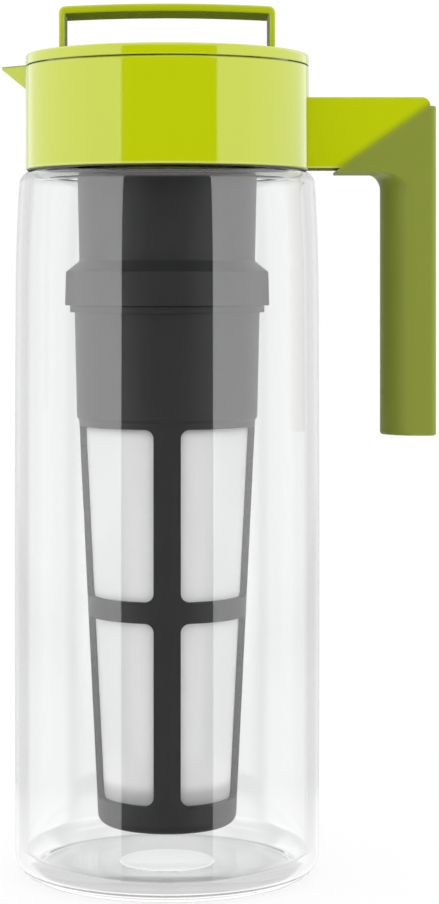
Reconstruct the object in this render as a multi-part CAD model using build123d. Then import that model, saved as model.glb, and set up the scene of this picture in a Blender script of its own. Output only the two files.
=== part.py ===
from build123d import *
import os
from math import degrees

os.makedirs("parts", exist_ok=True)

# Iced tea maker. Millimetres, +Z up, origin at the centre of the jug's foot.
# The pouring beak points along -X and the handle along +X.

# Jug: one clear moulding on the Z axis
jug_height = 240.0       # foot to shoulder
jug_r = 52.1             # wall radius just above the foot
draw_in_height = 40.0    # stretch under the shoulder where the wall draws in
draw_in = 1.6            # how far it draws in
belly_bulge = 0.3        # slight barrel of the long wall
upper_bulge = 0.35       # barrel of the drawn-in stretch
foot_round = 7.5
shoulder_round = 4.0
jug_wall = 3.6
jug_base = 3.6
inner_foot_round = 6.8
inner_shoulder_round = 2.0
base_disc_r = 15.9       # raised disc inside the base
base_disc_rise = 0.4
shoulder_step = 7.5      # from the shoulder's edge in to the neck
neck_wall = 2.5
neck_height = 22.0
neck_rim_round = 0.8

# Screw threads: a helical rib on each side of every joint
thread_gap = 0.45        # from a rib's crest to the wall it faces
flank_gap = 0.25         # between two ribs along the axis
rib_bite = 0.4           # how deep a rib is rooted in its wall
neck_lead = 5.0
neck_turns = 1.25
neck_rib_rise = 1.25
neck_rib_width = 1.8
neck_rib_start = 9.0     # above the shoulder
small_lead = 4.0         # infuser and basket threads
small_turns = 1.0
small_rib_rise = 1.2
small_rib_width = 1.4
female_turns = 0.75
female_rib_start = 1.8   # above the mouth of a female thread, to the rib's lower edge

# Neck gasket: an L-shaped ring on the shoulder, held up by the collar
gasket_height = 3.3
gasket_lip_inset = 1.1   # inside the collar's wall
seat_gap = 0.2

# Collar
collar_gap = 1.5         # shoulder to the collar's lower edge
collar_height = 35.4
collar_wall = 1.8
collar_edge = 0.6
liner_wall = 2.2
deck_gap = 0.6           # neck's rim to the liner's deck
deck_thickness = 2.2
bore_step = 0.8          # the lid's bore is this much inside the neck's bore
bore_wall = 1.8
top_plate = 2.8

# Beak and the channel that feeds it
beak_reach = 8.2         # beyond the collar's wall
beak_half_width = 9.8
beak_drop = 9.0          # top of the collar to the keel, where the beak roots in the wall
beak_tip_half = 0.5
beak_tip_drop = 0.9
channel_half = 6.4       # half width at the top
channel_floor_half = 1.6
channel_depth = 5.2
channel_floor = 1.5      # plastic under the channel, inside the collar
channel_side = 1.4
channel_tip_inset = 0.9

# Handle: an arm off the collar, a grip down from its end, and a sleeve over both
arm_lift = 0.2           # above the collar's lower edge
arm_height = 24.1
arm_length = 40.9        # beyond the collar's wall
arm_half_width = 11.0
arm_corner = 2.8
sleeve_offset = 10.3     # collar's wall to where the sleeve's slanted edge starts
sleeve_rise = 21.3       # and how far up the arm's end it reaches
sleeve_proud_under = 1.7
sleeve_proud_end = 2.7
grip_depth = 18.9        # along X
grip_length = 90.8       # below the arm
grip_flat = 8.9          # flat part of the grip's side faces
grip_crook = 9.0         # rounding of the flat faces where the grip meets the arm
grip_end_round = 1.7
core_inset = 4.0         # sleeve's thickness round the core
sleeve_step = 1.0        # the sleeve's underside starts this much before its slanted edge

# Lid
lid_gap = 0.3            # collar's top to the lid
lid_thickness = 3.8
lid_edge = 1.2
lid_dish_depth = 0.8
lid_dish_margin = 4.0
plug_gap = 0.5           # round the plug, in the bore
plug_wall = 2.6
plug_roof = 2.0
plug_depth = 19.2
port_height = 4.4
seal_drop = 8.4          # lid's underside to the top of the seal's groove
seal_groove = 3.0
seal_groove_depth = 1.4
seal_proud = 0.25
seal_clear = 0.2
lug_inset = 3.7          # collar's wall to the middle of the stop lug
lug_width = 2.2
lug_span = 5.0           # degrees
lug_length = 1.6
slot_gap = 0.3
lid_swing = 90.0         # degrees between the closed and the pouring position

# Strap handle on the lid
strap_inset = 11.9       # lid's edge to the strap's end
strap_half_width = 12.4
strap_rise = 15.7        # above the lid, at the ends
strap_arch = 0.9
strap_bar = 2.5
strap_leg = 1.9
strap_corner = 2.3
strap_foot = 2.4         # how deep each leg sits in the lid
strap_edge = 0.5

# Infuser tube: threaded neck, tube, flared skirt
infuser_gap = 9.5        # neck's bore to the tube
tube_wall = 2.2
tube_neck_step = 1.2
socket_roof = 13.9       # lid's underside to the ledge over the seal
socket_depth = 18.3
socket_wall = 2.0
socket_lip = 0.4         # the ledge reaches this far inside the tube's neck
washer = 1.0             # thickness of the infuser's and the basket's washer
washer_gap = 0.2         # above a washer
washer_seat = 0.1        # below a washer
tube_length = 52.0       # tube's top to the start of the flare
tube_shoulder = 18.0     # tube's top to the step under its thread
tube_taper = 0.7
flare_height = 3.7
skirt_flare = 4.2        # the skirt's foot is this much outside the tube
skirt_draft = 0.3
skirt_wall = 2.1
skirt_height = 11.4      # below the flare
skirt_ledge = 1.1        # flare's foot to the ledge over the basket's washer

# Basket
basket_clear = 13.1      # jug's base disc to the basket's foot
flange_inset = 1.7       # inside the skirt's foot
flange_height = 2.2
basket_wall = 2.15
band_proud = 0.75        # the band's top is this much outside the basket's threaded neck
band_height = 36.9       # plain stretch under the flange
band_taper = 0.8
cone_step = 0.7          # from the band's foot in to the cone
cone_taper = 6.7
foot_edge = 3.6          # rounding of the basket's bottom edge
rib_width = 9.0
rib_count = 4
foot_band = 9.6          # basket's foot to the lower windows
lower_window = 61.9      # height of the lower windows
window_bar = 7.0         # bar between the two rows of windows
upper_margin = 2.0       # upper windows to the band
window_round = 3.0
floor_thickness = 2.2
floor_rim = 7.2          # from the cone's foot in to the floor's openings
spoke_width = 4.5
mesh_thickness = 0.4

# Levels and radii that follow from the sizes above
jug_shoulder_r = jug_r - draw_in
neck_r = jug_shoulder_r - shoulder_step
neck_bore_r = neck_r - neck_wall
neck_top = jug_height + neck_height

gasket_base = jug_height + seat_gap
gasket_top = gasket_base + gasket_height
liner_bore_r = neck_r + neck_rib_rise + thread_gap
liner_r = liner_bore_r + liner_wall
liner_base = gasket_top + seat_gap
collar_r = liner_r + collar_wall
gasket_lip_r = collar_r - gasket_lip_inset
lug_r = collar_r - lug_inset
strap_span = collar_r - strap_inset
collar_base = jug_height + collar_gap
collar_top = collar_base + collar_height
plate_base = collar_top - top_plate
deck_base = neck_top + deck_gap
deck_top = deck_base + deck_thickness
bore_r = neck_bore_r - bore_step
bore_outer_r = bore_r + bore_wall
channel_base = collar_top - channel_depth

arm_base = collar_base + arm_lift
arm_top = arm_base + arm_height
sleeve_base = arm_base - sleeve_proud_under
sleeve_top = arm_base + sleeve_rise
arm_end = collar_r + arm_length
sleeve_start = collar_r + sleeve_offset
grip_outer = arm_end + sleeve_proud_end
grip_inner = grip_outer - grip_depth
grip_bottom = arm_base - grip_length
grip_flat_start = grip_outer - grip_flat

lid_base = collar_top + lid_gap
lid_top = lid_base + lid_thickness
dish_level = lid_top - lid_dish_depth
plug_r = bore_r - plug_gap
plug_inner_r = plug_r - plug_wall
plug_base = lid_base - plug_depth
roof_base = lid_base - plug_roof
groove_top = lid_base - seal_drop
groove_base = groove_top - seal_groove
groove_r = plug_r - seal_groove_depth

tube_r = neck_bore_r - infuser_gap
tube_neck_r = tube_r - tube_neck_step
socket_bore_r = tube_neck_r + small_rib_rise + thread_gap
socket_r = socket_bore_r + socket_wall
socket_ledge_r = tube_neck_r - socket_lip
socket_ledge = lid_base - socket_roof
socket_mouth = socket_ledge - socket_depth
tube_top = socket_ledge - washer_gap - washer - washer_seat
flare_top = tube_top - tube_length
flare_base = flare_top - flare_height
skirt_base = flare_base - skirt_height
skirt_r = tube_r + skirt_flare
skirt_bore_r = skirt_r - skirt_draft - skirt_wall
skirt_ledge_level = flare_base - skirt_ledge

flange_top = skirt_base - seat_gap
band_base = flange_top - flange_height - band_height
basket_foot = jug_base + base_disc_rise + basket_clear
flange_r = skirt_r - flange_inset
basket_top = skirt_ledge_level - washer_gap - washer - washer_seat
basket_neck_r = skirt_bore_r - thread_gap - small_rib_rise
basket_bore_r = basket_neck_r - basket_wall
basket_floor = basket_foot + floor_thickness
band_top_r = basket_neck_r + band_proud
band_foot_r = band_top_r - band_taper
cone_top_r = band_foot_r - cone_step
cone_foot_r = cone_top_r - cone_taper
floor_opening_r = cone_foot_r - floor_rim
lower_sill = basket_foot + foot_band
lower_head = lower_sill + lower_window
upper_sill = lower_head + window_bar
upper_head = band_base - upper_margin


def disc(radius, base, top):
    """Round plate on the Z axis."""
    middle = (Align.CENTER, Align.CENTER, Align.MIN)
    return Pos(0, 0, base) * Cylinder(radius, top - base, align=middle)


def ring(inner, outer, base, top):
    """Round tube on the Z axis."""
    return disc(outer, base, top) - disc(inner, base, top)


def block(low, high):
    """Box between two corners."""
    size = [b - a for a, b in zip(low, high)]
    return Pos(*low) * Box(*size, align=(Align.MIN, Align.MIN, Align.MIN))


def turned(points):
    """Solid of revolution from an outline of (radius, height) points."""
    return revolve(Plane.XZ * Polygon(*points, align=None), Axis.Z)


def arc_ring(inner, outer, base, top, start, sweep):
    """Part of a round tube, from a start angle through a sweep in degrees."""
    section = Pos(inner, base) * Rectangle(outer - inner, top - base, align=Align.MIN)
    return Rot(0, 0, start) * revolve(Plane.XZ * section, Axis.Z, sweep)


def slab(points, half_width):
    """Outline of (x, z) points made solid to half_width on each side of Y = 0."""
    return extrude(Plane.XZ * Polygon(*points, align=None), half_width, both=True)


def thread_rib(wall_r, rise, width, lead, turns, start, outward):
    """Right-hand helical rib rooted in a wall, with its first middle at height start."""
    side = 1 if outward else -1
    path = Helix(pitch=lead, height=lead * turns, radius=wall_r)
    root, crest = -side * rib_bite, side * rise
    section = Polygon(
        (root, -width / 2), (root, width / 2), (crest, width / 4), (crest, -width / 4), align=None
    )
    plane = Plane(origin=path @ 0, x_dir=(1, 0, 0), z_dir=path % 0)
    return Pos(0, 0, start) * sweep(plane * section, path=path, is_frenet=True)


def vessel(inset, foot, shoulder, foot_corner, shoulder_corner, throat_r, top):
    """The jug's outline, drawn in by inset, made solid from its foot up to top."""
    wall_r = jug_r - inset
    under_r = jug_shoulder_r - inset
    waist = (wall_r, shoulder - draw_in_height)
    base_arc = JernArc((wall_r - foot_corner, foot), (1, 0), foot_corner, 90)
    long_wall = SagittaArc(base_arc @ 1, waist, -belly_bulge)
    short_wall = SagittaArc(waist, (under_r, shoulder - shoulder_corner), -upper_bulge)
    top_arc = JernArc(short_wall @ 1, (0, 1), shoulder_corner, 90)
    rest = Polyline(top_arc @ 1, (throat_r, shoulder), (throat_r, top), (0, top), (0, foot), base_arc @ 0)
    outline = make_face([base_arc, long_wall, short_wall, top_arc, *rest.edges()])
    return revolve(Plane.XZ * outline, Axis.Z)


def make_jug():
    outside = vessel(0, 0, jug_height, foot_round, shoulder_round, neck_r, neck_top)
    inside = vessel(
        jug_wall, jug_base, jug_height - jug_wall, inner_foot_round, inner_shoulder_round,
        neck_bore_r, neck_top + 1,
    )
    jug = outside - inside
    rim = jug.edges().filter_by_position(Axis.Z, neck_top - 0.01, neck_top + 0.01)
    jug = fillet(rim, min(neck_rim_round, 0.45 * neck_wall))
    jug += disc(base_disc_r, jug_base / 2, jug_base + base_disc_rise)
    start = jug_height + neck_rib_start
    return jug + thread_rib(neck_r, neck_rib_rise, neck_rib_width, neck_lead, neck_turns, start, True)


def make_neck_gasket():
    lip = ring(liner_bore_r, gasket_lip_r, gasket_base, collar_base - seat_gap)
    return lip + ring(liner_bore_r, liner_r - seat_gap, gasket_base, gasket_top)


def wedge(half, floor_half, drop, root_x, tip_half, tip_floor_half, tip_drop, tip_x):
    """Flat-topped prism under the collar's top that narrows from root_x to tip_x."""
    ends = []
    for x, top, low, depth in (
        (root_x, half, floor_half, drop), (tip_x, tip_half, tip_floor_half, tip_drop)
    ):
        plane = Plane(origin=(x, 0, collar_top), x_dir=(0, -1, 0), z_dir=(-1, 0, 0))
        ends.append(plane * Polygon((-top, 0), (-low, -depth), (low, -depth), (top, 0), align=None))
    return loft(ends, ruled=True)


def make_beak():
    keel = 0.1
    return wedge(
        beak_half_width, keel, beak_drop, -liner_r - 0.1,
        beak_tip_half, keel, beak_tip_drop, -collar_r - beak_reach,
    )


def make_channel():
    """Space that the tea runs through, from the lid's bore to the tip of the beak."""
    plane = Plane(origin=(-plug_inner_r, 0, collar_top), x_dir=(0, -1, 0), z_dir=(-1, 0, 0))
    section = Polygon(
        (-channel_half, 1), (-channel_half, 0), (-channel_floor_half, -channel_depth),
        (channel_floor_half, -channel_depth), (channel_half, 0), (channel_half, 1), align=None,
    )
    inside = extrude(plane * section, collar_r - 1 - plug_inner_r)
    tip_x = -collar_r - beak_reach + channel_tip_inset
    outside = wedge(
        channel_half, channel_floor_half, channel_depth, -collar_r + 1,
        beak_tip_half, beak_tip_half / 2, beak_tip_drop / 2, tip_x,
    )
    return inside + outside


def make_arm():
    outline = Polygon(
        (liner_r - 4, arm_base), (sleeve_start, arm_base), (arm_end, sleeve_top),
        (arm_end, arm_top), (liner_r - 4, arm_top), align=None,
    )
    corner = outline.vertices().sort_by(Axis.X)[-2:].sort_by(Axis.Y)[-1:]
    outline = fillet(corner, min(arm_corner, 0.98 * (arm_top - sleeve_top)))
    arm = extrude(Plane.XZ * outline, arm_half_width, both=True)
    return arm - disc(liner_r, arm_base - 1, arm_top + 1)


def make_core():
    half = arm_half_width - core_inset
    return block(
        (grip_inner + core_inset, -half, grip_bottom + core_inset),
        (grip_outer - core_inset, half, arm_top - core_inset),
    )


def make_collar_shell():
    shell = ring(liner_r, collar_r, collar_base, collar_top)
    shell += ring(bore_outer_r, collar_r, plate_base, collar_top)
    outer = shell.edges().filter_by(GeomType.CIRCLE).filter_by(lambda e: abs(e.radius - collar_r) < 0.01)
    shell = fillet(outer, min(collar_edge, 0.3 * collar_wall))
    shell += make_beak()
    shell += make_arm() + make_core()
    shell -= make_channel()
    clear = lug_width / 2 + slot_gap
    slack = degrees(slot_gap / lug_r)
    reach = lid_swing + lug_span + 2 * slack
    slot_base = collar_top + lid_gap - lug_length - slot_gap
    return shell - arc_ring(lug_r - clear, lug_r + clear, slot_base, collar_top + 1, -reach / 2, reach)


def make_collar_liner():
    liner = ring(liner_bore_r, liner_r, liner_base, deck_top)
    liner += ring(bore_r, liner_r, deck_base, deck_top)
    liner += ring(bore_r, bore_outer_r, deck_base, collar_top)
    half = channel_half + channel_side
    trough = block((-liner_r - 1, -half, channel_base - channel_floor), (-bore_r, half, plate_base))
    liner += trough & ring(bore_r, liner_r, channel_base - channel_floor, plate_base)
    liner -= make_channel()
    start = jug_height + neck_rib_start - neck_rib_width - flank_gap
    return liner + thread_rib(liner_bore_r, neck_rib_rise, neck_rib_width, neck_lead, 1, start, False)


def make_grip_sleeve():
    sleeve = slab(
        [(sleeve_start - sleeve_step, sleeve_base), (grip_outer, sleeve_base),
         (grip_outer, sleeve_top), (arm_end, sleeve_top), (sleeve_start, arm_base),
         (sleeve_start - sleeve_step, arm_base)],
        arm_half_width,
    )
    depth = grip_flat_start - grip_inner
    middle = (grip_flat_start + grip_outer) / 2
    flat_part = Pos(middle, 0) * Rectangle(grip_flat, 2 * arm_half_width)
    inner_half = Pos(grip_inner + depth / 2, 0) * Rectangle(depth, 2 * arm_half_width)
    section = flat_part + (inner_half & Pos(grip_flat_start, 0) * Ellipse(depth, arm_half_width))
    sleeve += Pos(0, 0, grip_bottom) * extrude(section, arm_base - grip_bottom)
    crook = slab(
        [(grip_flat_start - grip_crook, sleeve_base + 1), (grip_flat_start + 1, sleeve_base + 1),
         (grip_flat_start + 1, sleeve_base - grip_crook), (grip_flat_start, sleeve_base - grip_crook),
         (grip_flat_start - grip_crook, sleeve_base)],
        arm_half_width,
    )
    centre = Pos(grip_flat_start - grip_crook, 0, sleeve_base - grip_crook)
    crook -= centre * Rot(90, 0, 0) * Cylinder(grip_crook, 2 * arm_half_width + 2)
    sleeve += crook
    back = sleeve.edges().filter_by(Axis.Z).filter_by(lambda e: e.center().X > grip_outer - 0.01)
    sleeve = fillet(back, grip_end_round)
    return sleeve - make_arm() - make_core()


def strap_leg_block(side, base, top):
    """Upright bar of the strap's section at one end of the strap."""
    near, far = sorted((side * (strap_span - strap_leg), side * strap_span))
    return block((near, -strap_half_width, base), (far, strap_half_width, top))


def make_lid_cap():
    cap = disc(collar_r, lid_base, lid_top)
    top = cap.edges().filter_by_position(Axis.Z, lid_top - 0.01, lid_top + 0.01)
    cap = fillet(top, min(lid_edge, 0.45 * lid_thickness))
    cap -= disc(collar_r - lid_dish_margin, dish_level, lid_top + 1)
    for side in (-1, 1):
        cap -= strap_leg_block(side, dish_level - strap_foot, lid_top + 1)
    return cap + arc_ring(
        lug_r - lug_width / 2, lug_r + lug_width / 2, lid_base - lug_length, lid_base + 0.5,
        -(lid_swing + lug_span) / 2, lug_span,
    )


def make_lid_handle():
    ends = strap_span - strap_corner
    level = lid_top + strap_rise
    under = level - strap_bar
    inner = strap_span - strap_leg
    foot = dish_level - strap_foot
    left_corner = JernArc((-strap_span, level - strap_corner), (0, 1), strap_corner, -90)
    right_corner = JernArc((ends, level), (1, 0), strap_corner, -90)
    crown = ThreePointArc(left_corner @ 1, (0, level + strap_arch), right_corner @ 0)
    soffit = ThreePointArc((inner, under), (0, under + strap_arch), (-inner, under))
    right_leg = Polyline(right_corner @ 1, (strap_span, foot), (inner, foot), (inner, under))
    left_leg = Polyline((-inner, under), (-inner, foot), (-strap_span, foot), left_corner @ 0)
    outline = make_face([left_corner, crown, right_corner, *right_leg.edges(), soffit, *left_leg.edges()])
    strap = extrude(Plane.XZ * outline, strap_half_width, both=True)
    long_edges = strap.edges().filter_by(lambda e: e.center().Z > level - 0.3 and e.length > 2 * ends - 5)
    return fillet(long_edges, strap_edge)


def make_lid_plug():
    plug = disc(plug_r, roof_base, lid_base)
    plug += ring(plug_inner_r, plug_r, plug_base, lid_base)
    plug += ring(socket_bore_r, socket_r, socket_mouth, lid_base - plug_roof / 2)
    plug += ring(socket_ledge_r, socket_r, socket_ledge, lid_base - plug_roof / 2)
    plug -= ring(groove_r, plug_r + 1, groove_base, groove_top)
    port_base = roof_base - port_height
    plug -= block((-channel_half, plug_inner_r - 1, port_base), (channel_half, plug_r + 1, roof_base))
    start = socket_mouth + female_rib_start
    return plug + thread_rib(
        socket_bore_r, small_rib_rise, small_rib_width, small_lead, female_turns, start, False
    )


def make_lid_seal():
    seal = ring(groove_r + seal_clear, plug_r + seal_proud, groove_base + seal_clear, groove_top - seal_clear)
    outer = seal.edges().filter_by(GeomType.CIRCLE).filter_by(lambda e: e.radius > plug_r)
    return fillet(outer, seal_proud * 2)


def make_infuser_seal():
    base = tube_top + washer_seat
    return ring(socket_ledge_r - tube_wall, socket_bore_r - thread_gap, base, base + washer)


def make_infuser_tube():
    foot_r = tube_r - tube_taper
    step = tube_top - tube_shoulder
    tube = turned([
        (tube_neck_r - tube_wall, tube_top), (tube_neck_r, tube_top), (tube_neck_r, step),
        (tube_r, step - tube_neck_step), (foot_r, flare_top), (skirt_r - skirt_draft, flare_base),
        (skirt_r, skirt_base), (skirt_bore_r, skirt_base), (skirt_bore_r, skirt_ledge_level),
        (foot_r - tube_wall, skirt_ledge_level), (tube_r - tube_wall, step - tube_wall),
        (tube_neck_r - tube_wall, step),
    ])
    male = socket_mouth + female_rib_start + small_rib_width + flank_gap
    tube += thread_rib(tube_neck_r, small_rib_rise, small_rib_width, small_lead, small_turns, male, True)
    female = skirt_base + female_rib_start
    return tube + thread_rib(
        skirt_bore_r, small_rib_rise, small_rib_width, small_lead, female_turns, female, False
    )


def make_basket_seal():
    base = basket_top + washer_seat
    return ring(basket_bore_r, basket_neck_r, base, base + washer)


def window(sill, head):
    """Cutter for the windows of one row, between one rib and the next."""
    reach = flange_r + 10
    cutter = block((rib_width / 2, rib_width / 2, sill), (reach, reach, head))
    corner = cutter.edges().filter_by(Axis.Z, reverse=True)
    inner = corner.filter_by(lambda e: min(e.center().X, e.center().Y) < rib_width / 2 + 0.01)
    return fillet(inner, window_round)


def cone_bore_r(height):
    """Inner radius of the basket's ribbed cone at a height."""
    share = (height - basket_foot) / (band_base - basket_foot)
    return cone_foot_r + share * (cone_top_r - cone_foot_r) - basket_wall


def make_basket_frame():
    frame = turned([
        (0, basket_foot), (cone_foot_r, basket_foot), (cone_top_r, band_base),
        (band_foot_r, band_base + 1), (band_top_r, flange_top - flange_height),
        (flange_r, flange_top - flange_height), (flange_r, flange_top), (basket_neck_r, flange_top),
        (basket_neck_r, basket_top), (basket_bore_r, basket_top), (basket_bore_r, band_base + 2),
        (cone_bore_r(band_base), band_base), (cone_bore_r(basket_floor), basket_floor),
        (0, basket_floor),
    ])
    foot = frame.edges().filter_by_position(Axis.Z, basket_foot - 0.01, basket_foot + 0.01)
    frame = fillet(foot, foot_edge)
    for k in range(rib_count):
        turn = Rot(0, 0, k * 360 / rib_count)
        frame -= turn * window(lower_sill, lower_head)
        frame -= turn * window(upper_sill, upper_head)
    opening = disc(floor_opening_r, basket_foot - 1, basket_floor + 1)
    for turn in (0, 90):
        reach = cone_foot_r
        opening -= Rot(0, 0, turn) * block(
            (-reach, -spoke_width / 2, basket_foot - 2), (reach, spoke_width / 2, basket_floor + 2)
        )
    frame -= opening
    start = skirt_base + female_rib_start + small_rib_width + flank_gap
    return frame + thread_rib(
        basket_neck_r, small_rib_rise, small_rib_width, small_lead, small_turns, start, True
    )


def make_side_mesh():
    low = basket_floor + mesh_thickness
    return turned([
        (cone_bore_r(low), low), (cone_bore_r(band_base), band_base),
        (cone_bore_r(band_base) - mesh_thickness, band_base), (cone_bore_r(low) - mesh_thickness, low),
    ])


def make_base_mesh():
    return disc(cone_bore_r(basket_floor), basket_floor, basket_floor + mesh_thickness)


nodes = {
    "jug": make_jug(),
    "neck_gasket": make_neck_gasket(),
    "collar_shell": make_collar_shell(),
    "collar_liner": make_collar_liner(),
    "grip_sleeve": make_grip_sleeve(),
    "lid_cap": make_lid_cap(),
    "lid_handle": make_lid_handle(),
    "lid_plug": make_lid_plug(),
    "lid_seal": make_lid_seal(),
    "infuser_seal": make_infuser_seal(),
    "infuser_tube": make_infuser_tube(),
    "basket_seal": make_basket_seal(),
    "basket_frame": make_basket_frame(),
    "side_mesh": make_side_mesh(),
    "base_mesh": make_base_mesh(),
}

for name, solid in nodes.items():
    export_step(solid, f"parts/{name}.step")
    print(name, solid.is_valid, len(solid.solids()), round(solid.volume))
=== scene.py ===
# %% [markdown]
# # An iced tea maker in clear plastic, lime plastic and silicone
#
# The jug, its collar, its lid and the infuser inside already exist as measured solids. This
# script dresses them: it makes the clear jug, the soft grip and the fine filter cloth as
# modelled meshes, and gives every other solid a finish. It works in metres, in the frame of
# the solids, with the jug standing on the origin and its beak along -X.

# %% Load the solids
from math import copysign, cos, hypot, pi, radians, sin, sqrt, tan

import bpy
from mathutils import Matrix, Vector


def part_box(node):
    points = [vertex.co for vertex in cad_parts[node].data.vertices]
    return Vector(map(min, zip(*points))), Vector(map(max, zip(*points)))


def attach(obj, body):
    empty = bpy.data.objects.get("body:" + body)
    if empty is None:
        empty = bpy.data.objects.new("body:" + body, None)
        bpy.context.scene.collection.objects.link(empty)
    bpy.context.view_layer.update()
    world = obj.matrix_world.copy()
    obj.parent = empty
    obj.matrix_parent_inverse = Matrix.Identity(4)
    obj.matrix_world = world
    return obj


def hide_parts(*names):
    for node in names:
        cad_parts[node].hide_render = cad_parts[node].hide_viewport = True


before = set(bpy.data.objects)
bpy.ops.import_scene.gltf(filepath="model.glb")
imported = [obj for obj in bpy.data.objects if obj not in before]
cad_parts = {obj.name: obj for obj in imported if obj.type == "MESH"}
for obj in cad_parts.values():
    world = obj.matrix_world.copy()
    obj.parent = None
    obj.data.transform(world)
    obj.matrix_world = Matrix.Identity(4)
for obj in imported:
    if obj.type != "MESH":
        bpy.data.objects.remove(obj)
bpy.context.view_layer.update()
mm = 0.001


# %% [markdown]
# ## The camera
#
# The view is upright and looks straight at the jug from its own side, level with the
# belly. A level camera keeps upright lines upright, so the view is framed with the lens
# shift and not by tilting. The lens is long, which is how such an object is usually shot.

# %% Camera
frame_width, frame_height = 439, 904        # of the render, in pixels
axis_column, ground_row = 167.15, 870.0     # where the jug's axis and foot appear in it
pixel = 0.345 * mm                          # at the axis
distance, eye_level = 0.861, 0.202

lens = bpy.data.cameras.new("studio_lens")
lens.sensor_fit = "VERTICAL"
lens.sensor_height = 36
lens.lens = distance / pixel / frame_height * lens.sensor_height
lens.shift_x = (frame_width / 2 - axis_column) / frame_height
lens.shift_y = (frame_height / 2 - ground_row + eye_level / pixel) / -frame_height
camera = bpy.data.objects.new("studio_camera", lens)
camera.location = (0, -distance, eye_level)
camera.rotation_euler = (pi / 2, 0, 0)
bpy.context.scene.collection.objects.link(camera)
bpy.context.scene.camera = camera
bpy.context.scene.view_settings.view_transform = "Standard"
print(f"lens {lens.lens:.1f} mm, shift {lens.shift_x:.3f}, {lens.shift_y:.3f}")


# %% [markdown]
# ## Wiring shader nodes
#
# A material or a sky is a small net of nodes. Short helpers keep the wiring readable. The
# first adds a node, sets its options and fills or links its sockets, and the rest use it
# for sums, ramps, mixed colours and places.

# %% Helpers for shader nodes
def add_node(tree, kind, sockets=None, **options):
    """A new node. A socket given another node's output is linked, and any other is set."""
    node = tree.nodes.new(kind)
    for option, value in options.items():
        setattr(node, option, value)
    for socket, value in (sockets or {}).items():
        if isinstance(value, bpy.types.NodeSocket):
            tree.links.new(value, node.inputs[socket])
        else:
            node.inputs[socket].default_value = value
    return node


def sum_of(tree, operation, *values):
    """The output of a Math node."""
    return add_node(tree, "ShaderNodeMath", dict(enumerate(values)), operation=operation).outputs[0]


def ramp(tree, value, low, high, at_low=0.0, at_high=1.0):
    """A value that goes smoothly from at_low to at_high while its input goes from low to high."""
    sockets = {"Value": value, 1: low, 2: high, 3: at_low, 4: at_high}
    return add_node(tree, "ShaderNodeMapRange", sockets, interpolation_type="SMOOTHSTEP").outputs[0]


def mix_colour(tree, share, first, second, blend="MIX"):
    """A colour between two others, or another blend of them."""
    sockets = {0: share, 6: first, 7: second}
    return add_node(tree, "ShaderNodeMix", sockets, data_type="RGBA", blend_type=blend).outputs[2]


def axes_of(tree, vector):
    """The X, Y and Z of a vector, by name."""
    return add_node(tree, "ShaderNodeSeparateXYZ", {0: vector}).outputs


def own_place(tree):
    """Where a point lies on its own piece, which is also its place in the frame, in metres."""
    return add_node(tree, "ShaderNodeTexCoord").outputs["Object"]


def paint(red, green, blue):
    """A linear colour from the 0 to 255 values that a screen shows."""
    linear = []
    for shown in (red, green, blue):
        share = shown / 255
        linear.append(share / 12.92 if share <= 0.04045 else ((share + 0.055) / 1.055) ** 2.4)
    return (*linear, 1.0)


print("mid grey is", round(paint(128, 128, 128)[0], 3), "in linear light")


# %% [markdown]
# ## The studio
#
# Clear plastic shows nothing but its surroundings, so the room matters more than the lamps.
# The sky gives plain soft light to matt surfaces, a white backdrop to the camera, and a
# paler or darker room to rays that bend through the jug. Two tall white panels left and
# right show only in reflections. They leave a dark gap in the middle of the jug, which is
# the look of a bottle shot between two soft boxes.

# %% Sky
sky_light = 0.98                # what matt surfaces get from the middle heights
sky_top, sky_bottom = 1.22, 0.62
panel_side, panel_far = 0.9, 1.74
panel_low, panel_high = -0.5, 1.1
panels = {    # the side, and the near edge that the jug mirrors and that the collar and lid mirror
    "left_panel": (-1, -1.36, -1.23),
    "right_panel": (1, -1.35, -1.09),
}
collar_foot_z = 241.3 * mm
panel_light, panel_light_low = 2.75, 2.1
panel_light_far, collar_light_far = 1.1, 1.75       # at its far end, for the jug and for collar and lid
panel_slope = 0.727             # where light that the jug's inner skin mirrors sees the panels begin
gap_middle, gap_edge = 0.14, 0.40    # what it sees of the dark gap between them
table_light = 1.0
# How far a ray leans sideways behind the jug tells how far from the axis it crossed the jug.
crossing_slopes = (0.036, 0.100, 0.34)
seen_middle, seen_ring, seen_edge, seen_aside = 0.80, 0.60, 0.83, 0.70
seen_more_low, seen_more_lowest = 0.05, 0.14    # added for rays that point down, where the panels give less
seen_steep = 0.62               # the table and the ceiling
inside_light = 1.6              # more soft light for what stands inside the jug
flag_light = (0.02, 0.12)       # a dark flag behind, low and high, for the hidden sides of arm and strap
mirrored_steep = 2.0            # the table and the ceiling, which edges turned up or down mirror
# Where the sky changes, by the height of a ray's direction
matt_heights = (-0.9, 0.9)
low_heights, lowest_heights = (-0.13, -0.17), (-0.195, -0.225)
table_outside_heights = (-0.2245, -0.2265)      # for light that the jug's outer skin mirrors
table_inside_heights = (-0.228, -0.234)         # and its inner skin
flag_top_heights, flag_level_heights = (0.16, 0.12), (-0.02, 0.02)
steep_mirrored, steep_seen = (0.35, 0.75), (0.25, 0.45)
# By how far it leans sideways, where a fade is in shares of the slope that it belongs to
flag_slopes, gap_slope = (0.15, 0.10), 0.2
near_fade, ring_fade, edge_fade, panel_fade = (0.5, 1.1), (0.85, 1.15), (1, 1.5), (0.98, 1.02)
# By how far it goes back, or to the front where that is negative
going_back, coming_front, turned_round = (-0.05, 0.20), (-0.05, -0.20), (0.03, -0.30)

world = bpy.data.worlds.new("studio_sky")
bpy.context.scene.world = world
world.use_nodes = True
sky = world.node_tree
sky.nodes.clear()


def between(share, first, second):
    """A value between two others in the sky's net."""
    sockets = {0: share, 2: first, 3: second}
    return add_node(sky, "ShaderNodeMix", sockets).outputs[0]


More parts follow.
